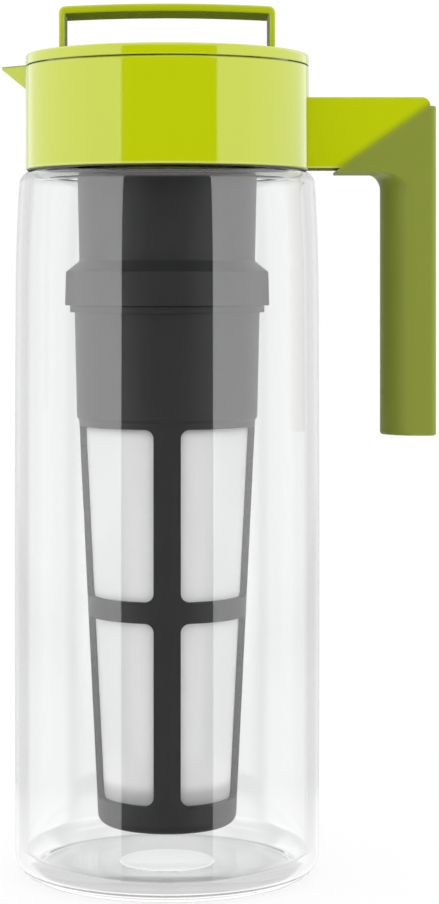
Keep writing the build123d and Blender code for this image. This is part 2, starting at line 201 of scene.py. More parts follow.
def past(turning_slope, fade):
    """How far a ray's sideways slope is past another, over shares of that one."""
    return ramp(sky, slope, turning_slope * fade[0], turning_slope * fade[1])


axes = axes_of(sky, add_node(sky, "ShaderNodeTexCoord").outputs["Generated"])
ray = add_node(sky, "ShaderNodeLightPath").outputs
slope = sum_of(sky, "DIVIDE", sum_of(sky, "ABSOLUTE", axes["X"]), sum_of(sky, "ABSOLUTE", axes["Y"]))
steepness = sum_of(sky, "ABSOLUTE", axes["Z"])
low_rays = ramp(sky, axes["Z"], *low_heights)
# The lowest rays see the table in front, and not the gap.
table_outside = ramp(sky, axes["Z"], *table_outside_heights)
table_inside = ramp(sky, axes["Z"], *table_inside_heights)

matt = ramp(sky, axes["Z"], *matt_heights, sky_bottom * sky_light, sky_top * sky_light)

# What surfaces mirror: a white room behind with its flag, and the table in front.
flag = sum_of(sky, "MULTIPLY", ramp(sky, axes["Z"], *flag_top_heights), ramp(sky, slope, *flag_slopes))
flag_level = ramp(sky, axes["Z"], *flag_level_heights, *flag_light)
mirrored = sum_of(sky, "MULTIPLY", ramp(sky, axes["Y"], *going_back), between(flag, 1.0, flag_level))
in_gap = sum_of(sky, "MULTIPLY", table_outside, ramp(sky, axes["Y"], *coming_front))
mirrored = between(in_gap, mirrored, table_light)
mirrored = between(ramp(sky, steepness, *steep_mirrored), mirrored, mirrored_steep)

# What bent rays see: the backdrop by where they crossed the jug, or the panels if they turned back.
near, ring, edge = crossing_slopes
behind = between(past(near, near_fade), seen_middle, seen_ring)
behind = between(past(ring, ring_fade), behind, seen_edge)
behind = between(past(edge, edge_fade), behind, seen_aside)
behind = sum_of(sky, "ADD", behind, between(low_rays, 0.0, seen_more_low))
behind = sum_of(sky, "ADD", behind, ramp(sky, axes["Z"], *lowest_heights, 0.0, seen_more_lowest))
panel_seen = between(low_rays, panel_light, panel_light_low)
gap_seen = ramp(sky, slope, gap_slope, panel_slope, gap_middle, gap_edge)
in_front = between(past(panel_slope, panel_fade), gap_seen, panel_seen)
in_front = between(table_inside, in_front, table_light)
has_turned = sum_of(sky, "MINIMUM", ray["Glossy Depth"], 1.0)
turned_back = sum_of(sky, "MULTIPLY", has_turned, ramp(sky, axes["Y"], *turned_round))
through = between(turned_back, behind, in_front)
through = between(ramp(sky, steepness, *steep_seen), through, seen_steep)
has_lit_a_surface = sum_of(sky, "MINIMUM", ray["Diffuse Depth"], 1.0)
through = between(has_lit_a_surface, through, sum_of(sky, "MULTIPLY", matt, inside_light))

level = between(ray["Is Glossy Ray"], matt, mirrored)
level = between(ray["Is Transmission Ray"], level, through)
level = between(ray["Is Camera Ray"], level, 1.0)
glow = add_node(sky, "ShaderNodeBackground", {"Color": (1, 1, 1, 1), "Strength": level})
add_node(sky, "ShaderNodeOutputWorld", {"Surface": glow.outputs[0]})
print("sky: matt light", sky_light, "seen through the jug", seen_middle, seen_ring, seen_edge)


# %% Reflector panels and floor
below_table, panel_depth = (-0.06, 0.02), (-0.2, 0.9)     # heights and depths over which the panels dim
collar_blur, edge_blur = 0.3 * mm, 4 * mm
floor_size, floor_glow_share = 12, 0.86


def glow_material(name, strength_of):
    """A material that only glows, with its strength wired by a function of its own tree."""
    material = bpy.data.materials.new(name)
    material.use_nodes = True
    tree = material.node_tree
    tree.nodes.clear()
    light = add_node(tree, "ShaderNodeEmission", {"Strength": strength_of(tree)})
    add_node(tree, "ShaderNodeOutputMaterial", {"Surface": light.outputs[0]})
    return material


def panel_strength(tree, collar_near):
    """Dimmer below the table, where its edge cuts the light, and towards the back. A ray that
    comes from the collar or the lid sees it begin further back than one from the jug does."""
    hit = add_node(tree, "ShaderNodeNewGeometry").outputs
    back, spot = axes_of(tree, hit["Incoming"]), axes_of(tree, hit["Position"])
    length = add_node(tree, "ShaderNodeLightPath").outputs["Ray Length"]
    source_z = sum_of(tree, "MULTIPLY_ADD", back["Z"], length, spot["Z"])
    from_collar = ramp(tree, source_z, collar_foot_z - collar_blur, collar_foot_z + collar_blur)
    beyond = ramp(tree, spot["Y"], collar_near - edge_blur, collar_near + edge_blur)
    hidden = sum_of(tree, "MULTIPLY", from_collar, sum_of(tree, "SUBTRACT", 1.0, beyond))
    cut = sum_of(tree, "SUBTRACT", 1.0, hidden)
    by_height = ramp(tree, spot["Z"], *below_table, panel_light_low, panel_light)
    far_share = panel_light_far / panel_light, collar_light_far / panel_light
    far_light = ramp(tree, from_collar, 0, 1, *far_share)
    by_depth = ramp(tree, spot["Y"], *panel_depth, 1.0, far_light)
    return sum_of(tree, "MULTIPLY", cut, sum_of(tree, "MULTIPLY", by_height, by_depth))


for name, (side, near, collar_near) in panels.items():
    panel_glow = glow_material(name + "_glow", lambda tree: panel_strength(tree, collar_near))
    bpy.ops.object.select_all(action="DESELECT")
    bpy.ops.mesh.primitive_plane_add(size=1, rotation=(0, pi / 2, 0))
    panel = bpy.context.object
    panel.name = name
    panel.scale = (panel_high - panel_low, panel_far - near, 1)
    bpy.ops.object.transform_apply(location=False, rotation=True, scale=True)
    panel.location = (side * panel_side, (near + panel_far) / 2, (panel_low + panel_high) / 2)
    bpy.ops.object.transform_apply(location=True)
    panel.data.materials.append(panel_glow)
    panel.visible_camera = panel.visible_diffuse = panel.visible_transmission = False
    panel.visible_shadow = False

bpy.ops.object.select_all(action="DESELECT")
bpy.ops.mesh.primitive_plane_add(size=floor_size)
floor = bpy.context.object
floor.name = "studio_floor"
floor_paint = bpy.data.materials.new("floor_paint")
floor_paint.use_nodes = True
tree = floor_paint.node_tree
tree.nodes.clear()
seen = add_node(tree, "ShaderNodeLightPath").outputs["Is Camera Ray"]
chalk = add_node(tree, "ShaderNodeBsdfDiffuse", {"Color": paint(250, 250, 250)})
white = add_node(tree, "ShaderNodeEmission", {"Strength": 1.0})
share = sum_of(tree, "MULTIPLY", seen, floor_glow_share)
blend = add_node(tree, "ShaderNodeMixShader", {0: share, 1: chalk.outputs[0], 2: white.outputs[0]})
add_node(tree, "ShaderNodeOutputMaterial", {"Surface": blend.outputs[0]})
floor.data.materials.append(floor_paint)
floor.visible_transmission = floor.visible_glossy = False
print("panels at", panel_side, "m on each side, floor", floor_size, "m wide")


# %% [markdown]
# ## Shared surface effects
#
# Moulded plastic is never quite even: the tool leaves a fine grain, the colour drifts a
# little, and use leaves hairline scuffs. Every plastic and rubber here has all three, each
# at its own scale, so they are one node group with its own inputs and outputs.

# %% Node group: moulded surface
def new_group(name, inputs, outputs):
    """An empty shader node group, its tree, and the sockets of its input node."""
    group = bpy.data.node_groups.new(name, "ShaderNodeTree")
    for socket, kind, value in inputs:
        made = group.interface.new_socket(socket, in_out="INPUT", socket_type=kind)
        if value is not None:
            made.default_value = value
    for socket, kind in outputs:
        group.interface.new_socket(socket, in_out="OUTPUT", socket_type=kind)
    return group, group.nodes.new("NodeGroupInput").outputs


moulded, given = new_group(
    "moulded_surface",
    [("Grain Scale", "NodeSocketFloat", 900.0), ("Drift Scale", "NodeSocketFloat", 12.0),
     ("Scuff Scale", "NodeSocketFloat", 60.0)],
    [("Grain", "NodeSocketFloat"), ("Drift", "NodeSocketFloat"), ("Scuffs", "NodeSocketFloat")],
)
place = own_place(moulded)
grain = add_node(
    moulded, "ShaderNodeTexNoise", {"Vector": place, "Scale": given["Grain Scale"], "Detail": 2.0}
)
drift = add_node(
    moulded, "ShaderNodeTexNoise", {"Vector": place, "Scale": given["Drift Scale"], "Detail": 3.0}
)
stretched = add_node(
    moulded, "ShaderNodeMapping", {"Vector": place, "Rotation": (0.5, 0.3, 0.4), "Scale": (1, 1, 0.08)}
)
scratch = add_node(
    moulded, "ShaderNodeTexNoise",
    {"Vector": stretched.outputs[0], "Scale": given["Scuff Scale"], "Detail": 5.0, "Roughness": 0.7},
)
scuffs = ramp(moulded, scratch.outputs["Fac"], 0.56, 0.70)
add_node(
    moulded, "NodeGroupOutput",
    {"Grain": grain.outputs["Fac"], "Drift": drift.outputs["Fac"], "Scuffs": scuffs},
)
print("group moulded_surface:", ", ".join(s.name for s in moulded.interface.items_tree))


# %% [markdown]
# ## The finishes
#
# Each finish is one Principled shader. What is the same all over a surface, such as its
# refraction, is set on the shader itself, and the group above drives only what changes
# from place to place: colour, roughness and the fine relief.

# %% Plastics and rubbers
def new_material(name, **constants):
    """A Principled material: its tree and its shader, with plain values set on the shader."""
    material = bpy.data.materials.new(name)
    material.use_nodes = True
    shader = material.node_tree.nodes["Principled BSDF"]
    for socket, value in constants.items():
        shader.inputs[socket.replace("_", " ")].default_value = value
    return material, material.node_tree, shader


def wire(tree, output, shader, socket):
    """Links an output to a socket of the shader, by its name."""
    tree.links.new(output, shader.inputs[socket])


def moulding(tree, grain_scale, drift_scale, scuff_scale):
    """The moulded surface group, placed in a material with its own scales."""
    node = add_node(tree, "ShaderNodeGroup", node_tree=moulded)
    node.inputs["Grain Scale"].default_value = grain_scale
    node.inputs["Drift Scale"].default_value = drift_scale
    node.inputs["Scuff Scale"].default_value = scuff_scale
    return node.outputs


def relief(tree, shader, height, depth, edge):
    """Fine relief of a depth in metres, on edges that look rounded by the radius edge."""
    rounded = add_node(tree, "ShaderNodeBevel", {"Radius": edge}, samples=6)
    bump = add_node(
        tree, "ShaderNodeBump",
        {"Height": height, "Strength": 1.0, "Distance": depth, "Normal": rounded.outputs[0]},
    )
    wire(tree, bump.outputs[0], shader, "Normal")


def plastic(name, colour, deeper, rough, scuffed, depth, edge, scales, **constants):
    """Moulded plastic or rubber whose colour drifts between two tones."""
    material, tree, shader = new_material(name, **constants)
    surface = moulding(tree, *scales)
    wire(tree, mix_colour(tree, surface["Drift"], colour, deeper), shader, "Base Color")
    wire(tree, ramp(tree, surface["Scuffs"], 0, 1, rough, scuffed), shader, "Roughness")
    relief(tree, shader, surface["Grain"], depth, edge)
    return material


lime_tones = paint(188, 201, 10), paint(184, 197, 5)
# The strap is the same lime plastic, painted a little darker as painted shade.
strap_shaded_tones = paint(182, 194, 10), paint(178, 190, 5)
gloss = {"depth": 0.002 * mm, "scales": (700, 14, 50), "IOR": 1.49}
lime = plastic("lime_plastic", *lime_tones, rough=0.07, scuffed=0.12, edge=0.6 * mm, **gloss)
grey = plastic(
    "grey_plastic", paint(45, 45, 46), paint(41, 41, 42), rough=0.5, scuffed=0.6, depth=0.01 * mm,
    edge=0.5 * mm, scales=(1400, 20, 50), IOR=1.49, Specular_IOR_Level=0.3,
)
rubber = plastic(
    "seal_rubber", paint(58, 57, 60), paint(52, 51, 54), rough=0.38, scuffed=0.5, depth=0.02 * mm,
    edge=0.3 * mm, scales=(1800, 30, 80), IOR=1.43,
)
silicone = plastic(
    "grip_silicone", paint(132, 143, 46), paint(127, 138, 42), rough=0.44, scuffed=0.52, depth=0.02 * mm,
    edge=0.8 * mm, scales=(2600, 16, 60), IOR=1.41, Specular_IOR_Level=0.35,
)
strap_lime = plastic("lime_plastic_strap", *strap_shaded_tones, rough=0.1, scuffed=0.15, edge=1.4 * mm, **gloss)
collar_lime = plastic("lime_plastic_collar", *lime_tones, rough=0.07, scuffed=0.12, edge=1.0 * mm, **gloss)
print("plastics:", ", ".join(m.name for m in (lime, grey, rubber, silicone, strap_lime, collar_lime)))


# %% [markdown]
# ## Joins, painted highlight and painted shade
#
# Arm and sleeve are moulded together, so one colour fades into the other across the arm's
# slanted end. The grip's sides that turn towards the jug get painted shade, and the collar
# gets a painted highlight line at its foot and a painted shadow line in the lid's seam.

# %% Colours that depend on the place
slant_foot = Vector((59, 0, 241.7)) * mm        # of the arm's slanted end, where the sleeve takes over
slant_down = Vector((0.5713, 0, -0.8208))
arm_root_x = 47.4 * mm
slant_fade = (-2.7 * mm, 1.2 * mm)
# Edges near the slant and the root stay sharp up to the first distance and are soft from the second on.
sharp_by_slant, sharp_by_root = (0.9 * mm, 1.5 * mm), (0.8 * mm, 1.4 * mm)
# Painted shade falls on faces turned partly to the grip's front, and less where they face right there.
grip_front = (-0.85, 0, -0.53)
shade_facing_from, shade_facing_to = (0.2, 0.46), (0.85, 0.55, 0.4, 1.0)
shaded_tone = 0.85
# Each line starts at the first height and has its full tone from the second on.
# A painted highlight line at the collar's foot, and a painted shadow line in the lid's seam.
foot_highlight_line, seam_shadow_line = (242.5 * mm, 242.0 * mm), (276.2 * mm, 276.8 * mm)


def own_colour(material):
    """What drives the colour of a finish so far, with its tree and its shader."""
    shader = material.node_tree.nodes["Principled BSDF"]
    return shader.inputs["Base Color"].links[0].from_socket, material.node_tree, shader


def feather(material, first, second):
    """Fades one colour into another across the slant, where arm and sleeve are moulded together,
    and keeps the edges sharp there and at the arm's root."""
    own, tree, shader = own_colour(material)
    place = own_place(tree)
    offset = add_node(tree, "ShaderNodeVectorMath", {0: place, 1: slant_foot}, operation="SUBTRACT")
    drop = add_node(
        tree, "ShaderNodeVectorMath", {0: offset.outputs[0], 1: slant_down}, operation="DOT_PRODUCT"
    ).outputs["Value"]
    share = ramp(tree, drop, *slant_fade)
    wire(tree, mix_colour(tree, share, first or own, second or own), shader, "Base Color")
    rounded = next(node for node in tree.nodes if node.bl_idname == "ShaderNodeBevel")
    off_root = sum_of(tree, "ABSOLUTE", sum_of(tree, "SUBTRACT", axes_of(tree, place)["X"], arm_root_x))
    keep = sum_of(
        tree, "MULTIPLY", ramp(tree, sum_of(tree, "ABSOLUTE", drop), *sharp_by_slant),
        ramp(tree, off_root, *sharp_by_root),
    )
    radius = sum_of(tree, "MULTIPLY", keep, rounded.inputs["Radius"].default_value)
    tree.links.new(radius, rounded.inputs["Radius"])


def paint_shade_on_grip_sides(material):
    """Paints shade on the sides of the grip that turn towards its front, a little darker than the rest."""
    own, tree, shader = own_colour(material)
    normal = add_node(tree, "ShaderNodeNewGeometry").outputs["Normal"]
    facing = add_node(
        tree, "ShaderNodeVectorMath", {0: normal, 1: grip_front}, operation="DOT_PRODUCT"
    ).outputs["Value"]
    shade_mask = sum_of(tree, "MULTIPLY", ramp(tree, facing, *shade_facing_from), ramp(tree, facing, *shade_facing_to))
    shade = mix_colour(tree, 1.0, own, ramp(tree, shade_mask, 0, 1, 1.0, shaded_tone), "MULTIPLY")
    wire(tree, shade, shader, "Base Color")


def edge_line(material, colour, start_z, full_z):
    """Another colour beyond a height: it starts at start_z and has its full tone from full_z on."""
    own, tree, shader = own_colour(material)
    height = axes_of(tree, own_place(tree))["Z"]
    wire(tree, mix_colour(tree, ramp(tree, height, start_z, full_z), own, colour), shader, "Base Color")


# Painted shade on the grip's sides that turn towards the jug.
paint_shade_on_grip_sides(silicone)
# A painted highlight line along the collar's foot.
edge_line(collar_lime, paint(207, 218, 84), *foot_highlight_line)
# A painted shadow line in the lid's seam.
edge_line(collar_lime, paint(140, 152, 8), *seam_shadow_line)
feather(collar_lime, None, paint(130, 141, 44))
feather(silicone, paint(186, 199, 8), None)
print("arm and sleeve fade over", round((slant_fade[1] - slant_fade[0]) / mm, 1), "mm")


# %% [markdown]
# ## The clear plastic
#
# The jug's thick foot has a painted glow: it adds some light of its own to the rays that
# turned most often in it. Two fine lines round the foot are painted shade. They show from
# outside only.

# %% Clear plastic
# A painted glow in the foot, for rays that turned often in it.
glow_turns, glow_heights, painted_glow = (4.4, 4.6), (30 * mm, 20 * mm), 0.95
clear_tint, painted_dark_tint = (0.985, 0.988, 0.99, 1.0), (0.14, 0.14, 0.14, 1.0)
# Two dark lines of painted shade round the foot.
painted_dark_lines = ((3.2 * mm, 0.4 * mm, 1.0), (2.0 * mm, 0.25 * mm, 0.7))    # height, half width, strength
line_softness = 0.3             # of its half width
clear, tree, shader = new_material("clear_plastic", IOR=1.52, Transmission_Weight=1.0)
surface = moulding(tree, 300, 10, 40)
wire(tree, ramp(tree, surface["Scuffs"], 0, 1, 0.0, 0.03), shader, "Roughness")
# Painted glow: the foot gives off light of its own for rays that turned often in it.
turns = add_node(tree, "ShaderNodeLightPath").outputs["Glossy Depth"]
height = axes_of(tree, own_place(tree))["Z"]
painted_glow_share = sum_of(tree, "MULTIPLY", ramp(tree, turns, *glow_turns), ramp(tree, height, *glow_heights))
wire(tree, sum_of(tree, "MULTIPLY", painted_glow_share, painted_glow), shader, "Emission Strength")
# The painted shade lines show from outside only.
painted_dark = 0.0
for line_z, half_width, strength in painted_dark_lines:
    off_line = sum_of(tree, "ABSOLUTE", sum_of(tree, "SUBTRACT", height, line_z))
    line_end, line_full = half_width * (1 + line_softness), half_width * (1 - line_softness)
    painted_dark = sum_of(tree, "MAXIMUM", painted_dark, ramp(tree, off_line, line_end, line_full, 0.0, strength))
from_within = add_node(tree, "ShaderNodeNewGeometry").outputs["Backfacing"]
painted_dark = sum_of(tree, "MULTIPLY", painted_dark, sum_of(tree, "SUBTRACT", 1.0, from_within))
wire(tree, mix_colour(tree, painted_dark, clear_tint, painted_dark_tint), shader, "Base Color")
print("clear plastic with", len(painted_dark_lines), "worn lines")


# %% Give the solids their finishes
finishes = {
    "lime_plastic": lime, "grey_plastic": grey, "seal_rubber": rubber, "grip_silicone": silicone,
    "clear_plastic": clear,
}
special = {"collar_shell": collar_lime, "lid_handle": strap_lime}
for name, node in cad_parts.items():
    wanted = node.data.materials[0].name
    node.data.materials[0] = special.get(name) or finishes.get(wanted.split(".")[0])
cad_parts["collar_shell"].visible_glossy = False    # the arm isn't mirrored in the collar
print("finishes:", ", ".join(finishes))


# %% [markdown]
# ## Turning a piece
#
# Most pieces here are round, so they are made as on a lathe. The outline starts as one
# point, is extruded corner by corner, has its corners rounded with a vertex bevel, and is
# then spun once round the upright axis.

# %% Helpers for modelling
hair = 0.001 * mm               # apart at most, and two places count as one


def pick_points(wanted):
    """Selects the vertices of the piece in edit mode whose place passes a test."""
    bpy.ops.mesh.select_mode(type="VERT")
    bpy.ops.mesh.select_all(action="DESELECT")
    bpy.ops.object.mode_set(mode="OBJECT")
    for point in bpy.context.object.data.vertices:
        point.select = wanted(point.co)
    bpy.ops.object.mode_set(mode="EDIT")


def start_point(name, place):
    """A new object in edit mode that is one single vertex."""
    bpy.ops.object.select_all(action="DESELECT")
    bpy.ops.mesh.primitive_plane_add(size=mm, location=place)
    bpy.ops.object.transform_apply(location=True)
    piece = bpy.context.object
    piece.name = piece.data.name = name
    bpy.ops.object.mode_set(mode="EDIT")
    bpy.ops.mesh.merge(type="CENTER")
    return piece


def draw_outline(name, corners, rounds, round_segments):
    """A closed outline of corners, in edit mode. rounds gives a radius for the index of a corner."""
    corners = [Vector(corner) for corner in corners]
    piece = start_point(name, corners[0])
    for before, corner in zip(corners, corners[1:] + corners[:1]):
        bpy.ops.mesh.extrude_region_move(TRANSFORM_OT_translate={"value": corner - before})
    bpy.ops.mesh.select_all(action="SELECT")
    bpy.ops.mesh.remove_doubles(threshold=hair)
    for index, radius in rounds.items():
        corner, ahead = corners[index], corners[(index + 1) % len(corners)]
        turn = (ahead - corner).angle(corner - corners[index - 1])
        pick_points(lambda co: (co - corner).length < 2 * hair)
        bpy.ops.mesh.bevel(offset=radius * tan(turn / 2), segments=round_segments, affect="VERTICES")
    bpy.ops.mesh.select_all(action="SELECT")
    return piece


def spin_round(steps):
    """Spins the selected outline once round the upright axis, closes it and leaves edit mode."""
    bpy.ops.mesh.spin(steps=steps, angle=2 * pi, center=(0, 0, 0), axis=(0, 0, 1))
    bpy.ops.mesh.select_all(action="SELECT")
    bpy.ops.mesh.remove_doubles(threshold=2 * hair)
    bpy.ops.mesh.normals_make_consistent(inside=False)
    bpy.ops.object.mode_set(mode="OBJECT")
    bpy.ops.object.shade_smooth_by_angle(angle=radians(30))
    print(bpy.context.object.name, len(bpy.context.object.data.polygons), "faces")


def turn_piece(name, outline, rounds, steps=144, round_segments=8):
    """A closed outline of (radius, height) corners in metres, spun round the upright axis."""
    piece = draw_outline(name, [(r, 0, z) for r, z in outline], rounds, round_segments)
    spin_round(steps)
    return piece


def combine(piece, operation, *others):
    """Joins other pieces to a piece, or cuts them out of it, and removes them."""
    bpy.ops.object.select_all(action="DESELECT")
    piece.select_set(True)
    bpy.context.view_layer.objects.active = piece
    for other in others:
        both = piece.modifiers.new("both", "BOOLEAN")
        both.operation, both.solver, both.object = operation, "EXACT", other
        bpy.ops.object.modifier_apply(modifier="both")
        bpy.data.objects.remove(other)


def hand_over(piece, material, slot, body, *nodes):
    """Gives a finished piece its material and the body it rides on, and hides the solids it replaces. slot is
    not used.
    """
    piece.data.materials.clear()
    piece.data.materials.append(material)
    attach(piece, body)
    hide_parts(*nodes)


# %% [markdown]
# ## The jug
#
# The real jug is one moulding of thick clear plastic: a barrel-shaped wall, a rounded foot,
# a shoulder and a threaded neck. Its beauty is in the wall's thickness, which bends the
# light at every curve, so both skins are in the outline and meet at the neck's rim.

# %% Jug
low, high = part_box("jug")
neck_top = high.z
belly_r = 52.1 * mm
shoulder_r, shoulder_z = 50.5 * mm, 240.9 * mm
waist_z = 200 * mm
wall, shoulder_wall = 3.6 * mm, 2.3 * mm
belly_bulge, shoulder_bulge = 0.3 * mm, 0.35 * mm
neck_r, bore_r, rim_round = 43 * mm, 40.5 * mm, 0.8 * mm
disc_r, disc_rise = 15.9 * mm, 0.4 * mm         # of the small disc in the middle of the floor
foot_arc, inner_foot_arc = 7.5 * mm, 6.8 * mm
top_arc, inner_top_arc = 4.5 * mm, 2 * mm
past_arc, within_arc = 1.01, 0.999              # keep the ends of the foot's arcs off the next point
inner_r, inner_shoulder = belly_r - wall, (shoulder_r - wall, shoulder_z - shoulder_wall)


def barrel(start, end, bulge, steps=12):
    """Points of a slightly bulging wall between two (radius, height) points, ends left out."""
    return [
        (start[0] + (end[0] - start[0]) * t + 4 * bulge * t * (1 - t), start[1] + (end[1] - start[1]) * t)
        for t in (k / steps for k in range(1, steps))
    ]


outside = [
    (0, 0), (belly_r, 0), (belly_r, foot_arc * past_arc),
    *barrel((belly_r, foot_arc), (belly_r, waist_z), belly_bulge),
    (belly_r, waist_z),
    *barrel((belly_r, waist_z), (shoulder_r, shoulder_z), shoulder_bulge, 5),
    (shoulder_r, shoulder_z), (neck_r, shoulder_z), (neck_r, neck_top),
]
inside = [
    (bore_r, neck_top), (bore_r, shoulder_z - shoulder_wall), inner_shoulder,
    *barrel(inner_shoulder, (inner_r, waist_z), shoulder_bulge, 5),
    (inner_r, waist_z),
    *barrel((inner_r, waist_z), (inner_r, inner_foot_arc + wall), belly_bulge),
    (inner_r, inner_foot_arc + wall * past_arc), (inner_r, wall),
    (disc_r + disc_rise, wall), (disc_r, wall + disc_rise), (0, wall + disc_rise),
]
outline = outside + inside
rounds = {
    outline.index((belly_r, 0)): foot_arc * within_arc,
    outline.index((shoulder_r, shoulder_z)): top_arc,
    outline.index((neck_r, neck_top)): rim_round,
    outline.index((bore_r, neck_top)): rim_round,
    outline.index(inner_shoulder): inner_top_arc,
    outline.index((inner_r, wall)): inner_foot_arc * within_arc,
}
jug = turn_piece("clear_jug", outline, rounds, steps=192)


# %% [markdown]
# ## The jug's thread
#
# The collar screws onto one and a quarter turns of a coarse rib round the neck. The rib is a
# trapezoid swept along a helix, sunk a little into the neck, and joined to it as one body.

# %% Thread
rib_rise, rib_width, rib_lead, rib_turns, rib_start = 1.25 * mm, 1.8 * mm, 5 * mm, 1.25, 249 * mm
rib_bite, rib_steps = 0.4 * mm, 150
screw_piece = start_point("neck_rib", (neck_r - rib_bite, 0, rib_start - rib_width / 2))
for step in ((rib_bite + rib_rise, rib_width / 4), (0, rib_width / 2), (-rib_bite - rib_rise, rib_width / 4)):
    bpy.ops.mesh.extrude_region_move(TRANSFORM_OT_translate={"value": (step[0], 0, step[1])})
bpy.ops.mesh.select_all(action="SELECT")
bpy.ops.mesh.edge_face_add()
bpy.ops.object.mode_set(mode="OBJECT")
screw = screw_piece.modifiers.new("screw", "SCREW")
screw.angle, screw.screw_offset = 2 * pi * rib_turns, rib_lead * rib_turns
screw.steps = screw.render_steps = rib_steps
bpy.ops.object.modifier_apply(modifier="screw")
bpy.ops.object.mode_set(mode="EDIT")
rib_top = rib_start + rib_lead * rib_turns
pick_points(lambda co: co.x > 0 and abs(co.y) < hair and co.z < rib_start + rib_width)
bpy.ops.mesh.edge_face_add()
pick_points(lambda co: co.y > 0 and abs(co.x) < hair and co.z > rib_top - rib_width)
bpy.ops.mesh.edge_face_add()
bpy.ops.mesh.select_all(action="SELECT")
bpy.ops.mesh.normals_make_consistent(inside=False)
bpy.ops.object.mode_set(mode="OBJECT")
combine(jug, "UNION", screw_piece)
bpy.ops.object.shade_smooth_by_angle(angle=radians(30))
hand_over(jug, clear, "clear_plastic", "jug", "jug")
print("clear_jug with its thread", len(jug.data.polygons), "faces")


# %% [markdown]
# ## The gasket under the collar
#
# A dark ring is squeezed between the shoulder and the collar. Its short lip closes the gap
# between them, so that seen through the clear shoulder it hides the collar's underside.

# %% Gasket
low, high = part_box("neck_gasket")
gasket_bore, gasket_body, gasket_lip = 44.7 * mm, 46.6 * mm, 48.2 * mm
lip_low, lip_high = shoulder_z + 0.1 * mm, 241.4 * mm
lip_round, top_round = 0.15 * mm, 0.4 * mm
gasket = turn_piece(
    "neck_gasket_ring",
    [(gasket_bore, lip_low), (gasket_lip, lip_low), (gasket_lip, lip_high),
     (gasket_body, lip_high), (gasket_body, high.z), (gasket_bore, high.z)],
    {1: lip_round, 2: lip_round, 4: top_round, 5: top_round}, round_segments=4,
)
hand_over(gasket, rubber, "seal_rubber", "neck_seal", "neck_gasket")


# %% [markdown]
# ## The grip's sleeve
#
# Silicone is moulded over the arm's end and the grip's core, so every edge is soft and the
# crook flows into the grip. A head, a column and thin slices for the crook are joined,
# remeshed into one even skin, smoothed, cut to the arm, and hollowed for the grip's core.

# %% Grip sleeve
def prism(name, corners, rounds, axis, depth, round_segments=12):
    """A prism on a flat outline of corners, rounded where rounds says, and depth deep along an axis."""
    piece = draw_outline(name, corners, rounds, round_segments)
    bpy.ops.mesh.edge_face_add()
    bpy.ops.mesh.extrude_region_move(TRANSFORM_OT_translate={"value": Vector(axis) * depth})
    bpy.ops.mesh.select_all(action="SELECT")
    bpy.ops.mesh.normals_make_consistent(inside=False)
    bpy.ops.object.mode_set(mode="OBJECT")
    return piece


low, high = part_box("grip_sleeve")
half = high.y
inner, outer, flat_start = 73.4 * mm, high.x - 0.5 * mm, 84.4 * mm
slant_end_x = 89.6 * mm
spare = 4 * mm                  # of the head, which is cut off again after the smoothing
column_foot = low.z - 0.5 * mm
under = 240 * mm                # the head's underside
wedge_power, nose_points = 2 / 1.8, 32          # a power of 1 gives half an ellipse, and 2 a plain wedge
back_round = 1.9 * mm
crook_height, slice_height = 7 * mm, 0.25 * mm
nose_reach, nose_height, side_reach = 4.8 * mm, 5.5 * mm, 10 * mm      # of the crook, in front and beside
skin_grid, softness, soft_rounds = 0.45 * mm, 0.5, 8
core_inset, core_top = 4 * mm, 261.8 * mm


def curve_in(drop, reach, height):
    """How far a rounded inner corner of a reach and a height still stands out, at a drop below it."""
    return reach * (1 - sqrt(1 - (1 - min(drop / height, 1)) ** 2))


def grip_section(name, low_z, high_z, inner_x, flat_x):
    """A slice of the grip: a blunt wedge in front, then flat sides and a square back."""
    nose = []
    for turn in (pi * k / nose_points for k in range(nose_points + 1)):
        across = copysign(abs(cos(turn)) ** wedge_power, cos(turn))
        nose.append((flat_x - (flat_x - inner_x) * sin(turn) ** wedge_power, half * across, low_z))
    corners = [(outer, half, low_z), *nose, (outer, -half, low_z)]
    rounds = {0: back_round, len(corners) - 1: back_round}
    return prism(name, corners, rounds, (0, 0, 1), high_z - low_z)


parts = [grip_section("sleeve_column", column_foot, high.z, inner, flat_start)]
head = prism(
    "sleeve_head",
    [(low.x - spare, -half, under), (outer - spare, -half, under), (outer - spare, -half, high.z),
     (slant_end_x - spare, -half, high.z), (low.x - spare, -half, slant_foot.z)],
    {}, (0, 1, 0), 2 * half,
)
for step in range(int(crook_height / slice_height)):
    drop = (step + 0.5) * slice_height
    parts.append(grip_section(
        "sleeve_crook", under - drop - slice_height / 2, under + mm,
        inner - curve_in(drop, nose_reach, nose_height),
        flat_start - curve_in(drop, side_reach, crook_height),
    ))
bpy.ops.object.select_all(action="DESELECT")
for part in (*parts, head):
    part.select_set(True)
bpy.context.view_layer.objects.active = head
bpy.ops.object.join()
sleeve = head
sleeve.name = sleeve.data.name = "silicone_sleeve"
skin = sleeve.modifiers.new("skin", "REMESH")
skin.mode, skin.voxel_size = "VOXEL", skin_grid
bpy.ops.object.modifier_apply(modifier="skin")
soften = sleeve.modifiers.new("soften", "SMOOTH")
soften.factor, soften.iterations = softness, soft_rounds
bpy.ops.object.modifier_apply(modifier="soften")
bpy.ops.object.mode_set(mode="EDIT")
for point, away in (((low.x, 0, 0), (-1, 0, 0)), (slant_foot, -slant_down)):
    bpy.ops.mesh.select_all(action="SELECT")
    bpy.ops.mesh.bisect(plane_co=point, plane_no=away, use_fill=True, clear_outer=True)
bpy.ops.object.mode_set(mode="OBJECT")
core_half, core_low = half - core_inset, low.z + core_inset
core_front, core_back = inner + core_inset, high.x - core_inset
core = prism(
    "sleeve_core",
    [(core_front, -core_half, core_low), (core_back, -core_half, core_low),
     (core_back, core_half, core_low), (core_front, core_half, core_low)],
    {}, (0, 0, 1), core_top - core_low,
)
